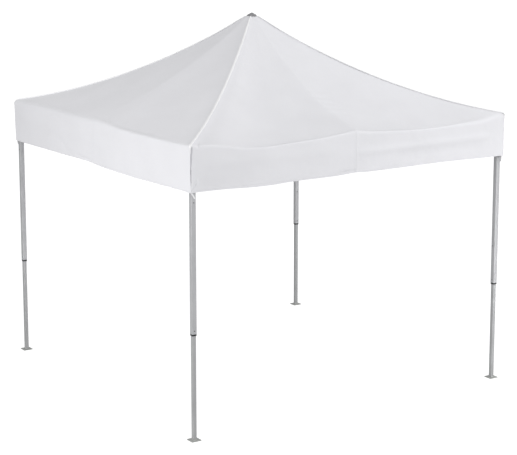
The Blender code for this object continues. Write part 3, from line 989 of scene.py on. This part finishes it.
        for face in sheet.faces:
            side = Side(min(places[vert][0] for vert in face.verts) // per_side)
            for loop in face.loops:
                column, row = places[loop.vert]
                across = self.columns[column - side.value * per_side]
                zone, share, below = row_of(row)
                spot = self.plain_point(side, across, zone, share)
                loop[uv].uv = (spot.x, self.up_cloth(spot, zone) - below)
        for vert, (column, row) in places.items():
            side = Side(min(column // per_side, 3))
            across = self.columns[column - side.value * per_side]
            zone, share, below = row_of(row)
            plain = self.plain_point(side, across, zone, share)
            to_corner = abs(plain.y) - abs(plain.x) if zone is Zone.ROOF else self.half - abs(plain.x)
            vert[seam] = to_corner if zone is Zone.ROOF else min(to_corner, abs(plain.x + 0.011))
            vert.co = self.point(side, across, zone, share, below)
        bmesh.ops.remove_doubles(sheet, verts=sheet.verts, dist=MILLIMETRE / 100)
        bmesh.ops.recalc_face_normals(sheet, faces=sheet.faces)
        return sheet

    def build(self) -> bpy.types.Object:
        """Make the canopy's sheet of cloth."""
        nodes = [f"{part}_{side.label}" for side in Side for part in ("roof_panel", "valance")]
        canopy = finished("canopy", self.shape(), CANOPY_CLOTH, replaces=nodes,
                          smooth_angle=math.radians(80))
        wall = canopy.modifiers.new("Cloth", "SOLIDIFY")
        wall.thickness = self.cloth
        wall.offset = -1.0
        return canopy


@dataclass
class HipWelts:
    """The white rolled welt that stands on each hip seam, from the peak down over the corner."""

    canopy: Canopy
    half_width: float = 0.0095
    height: float = 0.0065
    stand: float = 0.0010
    wrap: float = math.radians(118)
    columns: int = 12

    def shape(self, corner: Corner) -> Shape:
        """The welt of one hip.

        Args:
            corner: The corner that the hip runs down to.

        Returns:
            The welt's skin, open along its foot.
        """
        side = Side(corner.value)
        stations = self.canopy.rows()
        first_valance = next(i for i, (zone, _) in enumerate(stations) if zone is Zone.VALANCE)
        stations = stations[:first_valance + 3]
        spots = [self.canopy.point(side, -1.0, zone, share) for zone, share in stations]
        out = quarter_turn(side) @ Vector((-1.0, -1.0, 0.0)).normalized()
        level = Vector((-out.y, out.x, 0.0))
        last = len(stations) - 1
        welt = bmesh.new()
        bmesh.ops.create_grid(welt, x_segments=self.columns, y_segments=last, size=1.0)
        uv = welt.loops.layers.uv.new("cloth")
        for face in welt.faces:
            for loop in face.loops:
                flat = loop.vert.co
                loop[uv].uv = (flat.x * self.half_width * self.wrap, flat.y * self.canopy.half)
        for vert in welt.verts:
            row = round((1 - vert.co.y) * last / 2)
            along = (spots[min(last, row + 1)] - spots[max(0, row - 1)]).normalized()
            up = level.cross(along)
            up = up if up.dot(out) + up.z > 0.0 else -up
            fade = between(0.4, 1.0, smooth_step(row, 0, 6)) - 0.75 * smooth_step(row, last - 6, last)
            angle = vert.co.x * self.wrap
            rise = (self.stand + self.height * math.cos(angle)) * fade
            vert.co = spots[row] + up * rise + level * self.half_width * math.sin(angle) * fade
        bmesh.ops.recalc_face_normals(welt, faces=welt.faces)
        return welt

    def build(self) -> list[bpy.types.Object]:
        """Make the four welts."""
        return [finished(f"hip_welt_{corner.label}", self.shape(corner), WELT_CLOTH) for corner in Corner]


@dataclass(frozen=True)
class StrapEnd:
    """Where the loose end of a hook-and-loop strap hangs at a corner, in the tent's own place."""

    corner: Corner
    place: tuple[float, float, float]
    heading: float
    lean: float
    width: float
    length: float
    # By default a strap end takes the grey webbing, whose darkness is painted shade.
    finish: Cloth = SHADE_GREY_WEBBING


STRAP_ENDS = (
    # The front left strap end is the white cloth; the other three are its grey painted-shade copy.
    StrapEnd(Corner.FRONT_LEFT, (-1.486, -1.4810, 1.893), 0.0, 35.0, 0.012, 0.062, WELT_CLOTH),
    StrapEnd(Corner.FRONT_RIGHT, (1.476, -1.4810, 1.936), 0.0, 0.0, 0.028, 0.090),
    StrapEnd(Corner.BACK_RIGHT, (1.472, 1.4810, 1.935), 180.0, 0.0, 0.026, 0.090),
    StrapEnd(Corner.BACK_LEFT, (-1.4810, 1.483, 1.935), -90.0, 0.0, 0.022, 0.078),
)


@dataclass
class CornerStraps:
    """The loose ends of the straps that hold the corners, each flat against its leg."""

    thickness: float = 0.0016
    sway: float = 0.002
    columns: int = 6
    rows: int = 16

    def shape(self, end: StrapEnd) -> Shape:
        """One strap end with a rounded tip."""
        strap = bmesh.new()
        bmesh.ops.create_grid(strap, x_segments=self.columns, y_segments=self.rows, size=0.5)
        uv = strap.loops.layers.uv.new("cloth")
        for face in strap.faces:
            for loop in face.loops:
                loop[uv].uv = (loop.vert.co.x * end.width, loop.vert.co.y * end.length)
        for vert in strap.verts:
            across, down = vert.co.x, 0.5 - vert.co.y
            bow = self.sway * math.sin(down * math.pi * 1.4)
            tip = end.width * 0.4 * (2 * abs(across)) ** 2.5 * smooth_step(down, 0.6, 1.0)
            vert.co = (across * end.width, -bow, tip - down * end.length)
        bmesh.ops.solidify(strap, geom=strap.faces[:], thickness=self.thickness)
        bmesh.ops.recalc_face_normals(strap, faces=strap.faces)
        turn = Matrix.Rotation(math.radians(end.heading), 4, "Z")
        tilt = Matrix.Rotation(math.radians(-end.lean), 4, "Y")
        return moved(strap, Matrix.Translation(end.place) @ turn @ tilt)

    def build(self) -> list[bpy.types.Object]:
        """Make every strap end."""
        return [finished(f"strap_end_{end.corner.label}", self.shape(end), end.finish)
                for end in STRAP_ENDS]


# Legs


class Fixing(Enum):
    """What sits in a leg's hole."""

    LUG = "lug"
    BUTTON = "button"
    NOTHING = "nothing"


@dataclass(frozen=True)
class LegHole:
    """A hole through one face of an outer leg."""

    outer_face: bool
    above_end: float
    fixing: Fixing

    def place(self, width: float, bottom: float) -> tuple[Vector, Vector]:
        """The hole's middle on the tube's face, and the way that it looks."""
        way = Vector((0.0, -1.0 if self.outer_face else 1.0, 0.0))
        return Vector((0.0, way.y * width / 2, bottom + self.above_end)), way


LEG_HOLES = (
    LegHole(True, 0.025, Fixing.LUG),
    LegHole(True, 0.990, Fixing.BUTTON),
    LegHole(False, 0.025, Fixing.LUG),
    LegHole(False, 0.315, Fixing.BUTTON),
    LegHole(False, 0.455, Fixing.NOTHING),
)


@dataclass
class Legs:
    """The telescopic legs with their holes, rivets, snap buttons, collars and feet."""

    outer_low: Vector = field(default_factory=lambda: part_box("outer_leg_front_left")[0])
    outer_high: Vector = field(default_factory=lambda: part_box("outer_leg_front_left")[1])
    inner_low: Vector = field(default_factory=lambda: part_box("inner_leg_front_left")[0])
    inner_high: Vector = field(default_factory=lambda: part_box("inner_leg_front_left")[1])
    plate: float = 0.0062
    plate_corner: float = 0.0035
    outer_wall: float = 0.0018
    inner_wall: float = 0.0015
    corner: float = 0.0028
    hole_radius: float = 0.0044
    lug_height: float = 0.0006
    button_radius: float = 0.0036
    button_height: float = 0.0042
    weld: float = 0.0035
    rim_drop: float = 0.003
    rim_taper: float = 0.0022

    @property
    def axis(self) -> float:
        """How far a leg's middle is from the tent's middle, along X and along Y."""
        return -(self.outer_low.x + self.outer_high.x) / 2

    @property
    def width(self) -> float:
        """The outer tube's width."""
        return self.outer_high.x - self.outer_low.x

    @property
    def inner_width(self) -> float:
        """The inner tube's width."""
        return self.inner_high.x - self.inner_low.x

    def tube(self, width: float, wall: float, bottom: float, top: float, holes: Sequence[LegHole]) -> Shape:
        """A square tube with rounded corners and round holes.

        Args:
            width: The tube's outer width.
            wall: Its wall.
            bottom: Height of its lower end.
            top: Height of its upper end.
            holes: The holes through its faces.

        Returns:
            The tube round the leg's axis.
        """
        bore = post(width - 2 * wall, bottom - wall, top + wall, self.corner - wall)
        cutters = [bore]
        for hole in holes:
            spot, way = hole.place(width, self.outer_low.z)
            cutters.append(moved(round_bar(self.hole_radius, 4 * wall), aimed(spot, way)))
        return carved(post(width, bottom, top, self.corner), cutters)

    def fixings(self, kind: Fixing) -> Shape:
        """One leg's collar lugs or its snap buttons."""
        if kind is Fixing.LUG:
            radius, crown = self.hole_radius, self.lug_height
        else:
            radius, crown = self.button_radius, self.button_height
        profile = [(0.0, crown), (0.55 * radius, 0.94 * crown), (0.86 * radius, 0.72 * crown),
                   (radius, 0.40 * crown), (radius, -self.outer_wall), (0.0, -self.outer_wall)]
        shapes = []
        for hole in LEG_HOLES:
            if hole.fixing is kind:
                spot, way = hole.place(self.width, self.outer_low.z)
                shapes.append(moved(turned(profile, 24), aimed(spot, way)))
        return merged(shapes)

    def collar(self) -> Shape:
        """The bush at the outer tube's lower end: its tapering rim, and its sleeve in the tube."""
        low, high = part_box("collar_front_left")
        bottom, mouth = low.z - self.rim_drop, self.outer_low.z
        rim = post(high.x - low.x, bottom, mouth - MILLIMETRE / 5, self.corner)
        bevel(rim, [e for e in rim.edges if max(v.co.z for v in e.verts) < bottom + MILLIMETRE / 10],
              self.rim_taper, 3)
        sleeve_width = self.width - 2 * self.outer_wall - MILLIMETRE / 5
        sleeve = post(sleeve_width, mouth - MILLIMETRE / 5, high.z, self.corner - self.outer_wall)
        bores = [post(self.inner_width + MILLIMETRE / 2, bottom - 0.02, high.z + 0.02, self.corner)
                 for _ in range(2)]
        return merged([carved(rim, [bores[0]]), carved(sleeve, [bores[1]])])

    def foot(self) -> Shape:
        """The square plate under a leg and the low weld round the tube that stands on it."""
        low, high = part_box("foot_plate_front_left")
        width, top = high.x - low.x, low.z + self.plate
        plate = post(width, low.z, top, self.plate_corner, 4)
        bevel(plate, [e for e in plate.edges if min(v.co.z for v in e.verts) > top - MILLIMETRE / 10],
              self.plate * 0.2, 2)
        foot_of_weld = self.inner_width + 2 * self.weld
        bead = post(foot_of_weld, top - MILLIMETRE / 2, top + self.weld, self.corner + self.weld)
        rim = [e for e in bead.edges if min(v.co.z for v in e.verts) > top + self.weld - MILLIMETRE / 10]
        bevel(bead, rim, self.weld * 0.95, 3)
        return merged([plate, bead])

    def build(self) -> None:
        """Make every leg's pieces."""
        locked = [hole for hole in LEG_HOLES if hole.fixing is Fixing.BUTTON and not hole.outer_face]
        for corner in Corner:
            place = quarter_turn(corner) @ Matrix.Translation((-self.axis, -self.axis, 0.0))
            foot, name = f"foot_{corner.label}", corner.label
            outer = self.tube(self.width, self.outer_wall, self.outer_low.z, self.outer_high.z, LEG_HOLES)
            inner = self.tube(self.inner_width, self.inner_wall, self.inner_low.z, self.inner_high.z,
                              locked)
            finished(f"outer_tube_{name}", moved(outer, place), SILVER_TUBE, replaces=[f"outer_leg_{name}"])
            finished(f"inner_tube_{name}", moved(inner, place), INNER_TUBE_STEEL, foot,
                     [f"inner_leg_{name}"])
            finished(f"snap_buttons_{name}", moved(self.fixings(Fixing.BUTTON), place), BUTTON_STEEL)
            finished(f"collar_lugs_{name}", moved(self.fixings(Fixing.LUG), place), DARK_PLASTIC)
            finished(f"foot_{name}", moved(self.foot(), place), FOOT_STEEL, foot, [f"foot_plate_{name}"])
            finished(f"tube_collar_{name}", moved(self.collar(), place), DARK_PLASTIC,
                     replaces=[f"collar_{name}"])


# Truss


@dataclass
class Truss:
    """The folding truss: bars, plastic joints and the bolts that they turn on."""

    leg_axis: float
    upper_z: float = 2.180
    lower_z: float = 1.920
    leg_reach: float = 0.045
    middle_reach: float = 0.026
    arm_reach: float = 0.030
    plane: float = 0.007
    cheek_reach: float = 0.0093
    bolt_radius: float = 0.0062
    bolt_height: float = 0.0034
    nut_radius: float = 0.0068
    nut_height: float = 0.0045

    @property
    def hub_reach(self) -> float:
        """How far an arm's inner end is from the mast's middle."""
        return self.leg_axis - self.arm_reach - (self.leg_axis - self.leg_reach - self.middle_reach)

    def pivots(self) -> list[tuple[Vector, Vector]]:
        """Each pivot of the front side and its arm: its middle, and the way that its bolt looks."""
        line, found = -self.leg_axis, []
        outwards, sideways = Vector((0.0, -1.0, 0.0)), Vector((1.0, 0.0, 0.0))
        for hand in (-1, 1):
            for x, upper_plane in ((self.leg_axis - self.leg_reach, -1), (self.middle_reach, 1)):
                for z, plane in ((self.upper_z, upper_plane), (self.lower_z, -upper_plane)):
                    found.append((Vector((hand * x, line + plane * self.plane, z)), outwards))
        for y, upper_plane in ((line + self.arm_reach, 1), (-self.hub_reach, -1)):
            for z, plane in ((self.upper_z, upper_plane), (self.lower_z, -upper_plane)):
                found.append((Vector((plane * self.plane, y, z)), sideways))
        return found

    def bolts(self) -> Shape:
        """Every bolt head and nut of the front side and its arm."""
        radius, height = self.bolt_radius, self.bolt_height
        head = [(0.0, height), (0.5 * radius, 0.93 * height), (0.85 * radius, 0.62 * height),
                (radius, 0.18 * height), (radius, 0.0), (0.0, 0.0)]
        shapes = []
        for spot, way in self.pivots():
            shapes.append(moved(turned(head, 20), aimed(spot + way * self.cheek_reach, way)))
            nut = bmesh.new()
            bmesh.ops.create_cone(nut, cap_ends=True, segments=6, radius1=self.nut_radius,
                                  radius2=self.nut_radius, depth=self.nut_height)
            bevel(nut, nut.edges[:], 0.0006, 1)
            seat = spot - way * (self.cheek_reach + self.nut_height / 2)
            shapes.append(moved(nut, aimed(seat, -way)))
        return merged(shapes)

    def build(self) -> None:
        """Dress the bars and joints and add their bolts."""
        for side in Side:
            finished(f"pivot_bolts_{side.label}", moved(self.bolts(), quarter_turn(side)), NICKEL)
            bars = [f"scissor_{side.label}_1", f"scissor_{side.label}_2", f"scissor_arm_{side.label}"]
            for node in bars:
                finished(f"{node}_bars", softened(node, 0.0012), BAR_STEEL, replaces=[node])
            for node in (f"upper_joint_{side.label}", f"lower_joint_{side.label}"):
                finished(f"{node}_moulding", softened(node, 0.0008), JOINT_PLASTIC, replaces=[node])
        for corner in Corner:
            for node in (f"top_bracket_{corner.label}", f"slider_{corner.label}"):
                finished(f"{node}_moulding", softened(node, 0.0008), JOINT_PLASTIC, replaces=[node])
        for node in ("upper_hub", "lower_hub"):
            finished(f"{node}_moulding", softened(node, 0.0008), JOINT_PLASTIC, replaces=[node])


# Mast and peak


@dataclass
class Mast:
    """The mast with the head that spreads the roof and the cap on top."""

    wall: float = 0.0015
    neck: float = 0.0185
    rim: float = 0.004
    spigot: float = 0.030

    def tube(self) -> Shape:
        """The mast's round tube."""
        low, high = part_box("mast")
        radius, length = (high.x - low.x) / 2, high.z - low.z
        shape = carved(round_bar(radius, length, 48), [round_bar(radius - self.wall, length * 1.1, 48)])
        return moved(shape, Matrix.Translation((0.0, 0.0, (low.z + high.z) / 2)))

    def cap(self) -> Shape:
        """The low round cap, a blunt cone with a short skirt."""
        low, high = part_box("peak_cap")
        base, top, edge = low.z, high.z, high.x
        return turned([
            (0.0, top - 0.0030), (0.0050, top - 0.0034), (0.0090, top - 0.0052), (0.0130, top - 0.0080),
            (0.0180, top - 0.0112), (0.0250, top - 0.0150), (0.0310, top - 0.0177),
            (0.0355, top - 0.0200), (0.0385, top - 0.0222), (edge, top - 0.0244), (edge, base - 0.0002),
            (edge - 0.0008, base - 0.0010), (edge - 0.0030, base - 0.0010), (edge - 0.0030, base),
            (0.0, base),
        ], 72)

    def head(self) -> Shape:
        """The plastic head between the mast and the cap."""
        low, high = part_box("mast_head")
        edge, top, mast = high.x, high.z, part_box("mast")[1]
        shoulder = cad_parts["mast_head"].data
        rim_top = max(v.co.z for v in shoulder.vertices if v.co.xy.length > edge - MILLIMETRE)
        bore = mast.x - self.wall - 0.0003
        return turned([
            (0.0, top), (self.neck, top), (self.neck, rim_top + 0.0135), (edge - 0.001, rim_top),
            (edge, rim_top - 0.001), (edge, rim_top - self.rim + 0.001), (edge - 0.001, rim_top - self.rim),
            (0.030, mast.z + 0.012), (0.018, mast.z + 0.003), (mast.x, mast.z + 0.0003),
            (bore, mast.z + 0.0003), (bore, mast.z - self.spigot), (0.0, mast.z - self.spigot),
        ], 64)

    def build(self) -> None:
        """Make the mast, its head and the cap."""
        finished("mast_tube", self.tube(), SILVER_TUBE, replaces=["mast"])
        finished("mast_head_moulding", self.head(), JOINT_PLASTIC, replaces=["mast_head"])
        finished("peak_cap_moulding", self.cap(), CAP_PLASTIC, replaces=["peak_cap"])


# Camera and studio


@dataclass(frozen=True)
class Photograph:
    """The camera, as it was fitted to the photograph."""

    width: int = 517
    sensor: float = 36.0
    focal_pixels: float = 1627.8
    place: tuple[float, float, float] = (-7.415, -11.469, 4.073)
    yaw: float = 56.88
    pitch: float = -10.42
    rise: float = -0.08

    def build(self) -> None:
        """Set up the camera."""
        data = bpy.data.cameras.new("photograph")
        data.sensor_width = self.sensor
        data.lens = self.focal_pixels / self.width * self.sensor
        data.shift_y = self.rise
        data.clip_end = 400.0
        camera = bpy.data.objects.new("photograph", data)
        camera.location = self.place
        camera.rotation_euler = (math.radians(90 + self.pitch), 0.0, math.radians(self.yaw - 90))
        bpy.context.scene.collection.objects.link(camera)
        bpy.context.scene.camera = camera


@dataclass(frozen=True)
class Lamp:
    """A soft area light that looks at a point."""

    name: str
    place: tuple[float, float, float]
    target: tuple[float, float, float]
    size: float
    power: float
    spread: float = 180.0

    def build(self) -> None:
        """Hang the light."""
        data = bpy.data.lights.new(self.name, "AREA")
        data.size = self.size
        data.energy = self.power
        data.spread = math.radians(self.spread)
        lamp = bpy.data.objects.new(self.name, data)
        aim = Vector(self.target) - Vector(self.place)
        turn = aim.to_track_quat("-Z", "Y").to_matrix().to_4x4()
        lamp.matrix_world = Matrix.Translation(self.place) @ turn
        bpy.context.scene.collection.objects.link(lamp)


@dataclass(frozen=True)
class Studio:
    """A plain pale floor and soft light all round, dimmer from the back left."""

    floor_radius: float = 160.0
    floor_colour: float = 0.30
    floor_glow: float = 0.92
    floor_light: tuple[float, float] = (0.12, 0.40)
    sky_light: tuple[float, float] = (0.50, 0.88)
    dim_way: tuple[float, float, float] = (-0.30, 0.86, 0.0)
    lamps: tuple[Lamp, ...] = (
        Lamp("key_lamp", (5.0, -8.0, 7.0), (0.0, 0.0, 2.3), 3.0, 290.0),
        Lamp("left_lamp", (-6.5, -1.2, 1.8), (-1.5, -1.0, 1.9), 1.4, 118.0),
        Lamp("right_lamp", (2.6, -4.0, 0.8), (1.5, -1.5, 0.6), 0.8, 2.4, 70.0),
        Lamp("back_left_lamp", (-2.3, -1.0, 0.7), (-1.46, 1.46, 0.8), 0.6, 0.9, 50.0),
    )

    def dimmed(self, w: Wiring, way: Socket, reach: float, levels: tuple[float, float]) -> Socket:
        """A light level that falls towards the back left.

        Args:
            w: The node tree.
            way: A direction, or a place on the floor.
            reach: The length over which the level falls.
            levels: The dimmest and the brightest level.

        Returns:
            The level.
        """
        dot = w.add("ShaderNodeVectorMath", operation="DOT_PRODUCT")
        w.feed(dot.inputs[0], way)
        w.feed(dot.inputs[1], self.dim_way)
        return w.remap(dot.outputs["Value"], -reach, reach, levels[1], levels[0])

    def lay_floor(self) -> None:
        """Lay the floor, which looks nearly white and gives softer light than it shows."""
        shape = bmesh.new()
        bmesh.ops.create_circle(shape, cap_ends=True, segments=96, radius=self.floor_radius)
        mesh = bpy.data.meshes.new("floor")
        shape.to_mesh(mesh)
        shape.free()
        floor = bpy.data.objects.new("floor", mesh)
        bpy.context.scene.collection.objects.link(floor)
        material = bpy.data.materials.new("studio_floor")
        material.use_nodes = True
        w = Wiring(material.node_tree)
        shader = material.node_tree.nodes["Principled BSDF"]
        w.feed(shader.inputs["Base Color"], (*[self.floor_colour] * 3, 1.0))
        w.feed(shader.inputs["Roughness"], 1.0)
        w.feed(shader.inputs["Specular IOR Level"], 0.0)
        w.feed(shader.inputs["Emission Color"], (1.0, 1.0, 1.0, 1.0))
        place = w.add("ShaderNodeTexCoord").outputs["Object"]
        given = self.dimmed(w, place, 4.0, self.floor_light)
        seen = w.add("ShaderNodeLightPath").outputs["Is Camera Ray"]
        shown = w.math("MULTIPLY", w.math("SUBTRACT", self.floor_glow, given), seen)
        w.feed(shader.inputs["Emission Strength"], w.math("ADD", given, shown))
        mesh.materials.append(material)

    def light_sky(self) -> None:
        """Light the sky all round."""
        world = bpy.data.worlds.new("studio")
        world.use_nodes = True
        w = Wiring(world.node_tree)
        background = world.node_tree.nodes["Background"]
        way = w.add("ShaderNodeTexCoord").outputs["Generated"]
        w.feed(background.inputs["Color"], (1.0, 1.0, 1.0, 1.0))
        w.feed(background.inputs["Strength"], self.dimmed(w, way, 1.0, self.sky_light))
        bpy.context.scene.world = world
        bpy.context.scene.view_settings.view_transform = "Standard"

    def build(self) -> None:
        """Set up the whole studio."""
        self.lay_floor()
        self.light_sky()
        for lamp in self.lamps:
            lamp.build()


def main() -> None:
    """Build the camera, the studio and every piece in order."""
    Photograph().build()
    Studio().build()
    canopy = Canopy()
    cloth = canopy.build()
    legs = Legs()
    trims = HipWelts(canopy).build()
    trims += CornerStraps().build()
    legs.build()
    Truss(legs.axis).build()
    Mast().build()


if __name__ == "__main__":
    main()
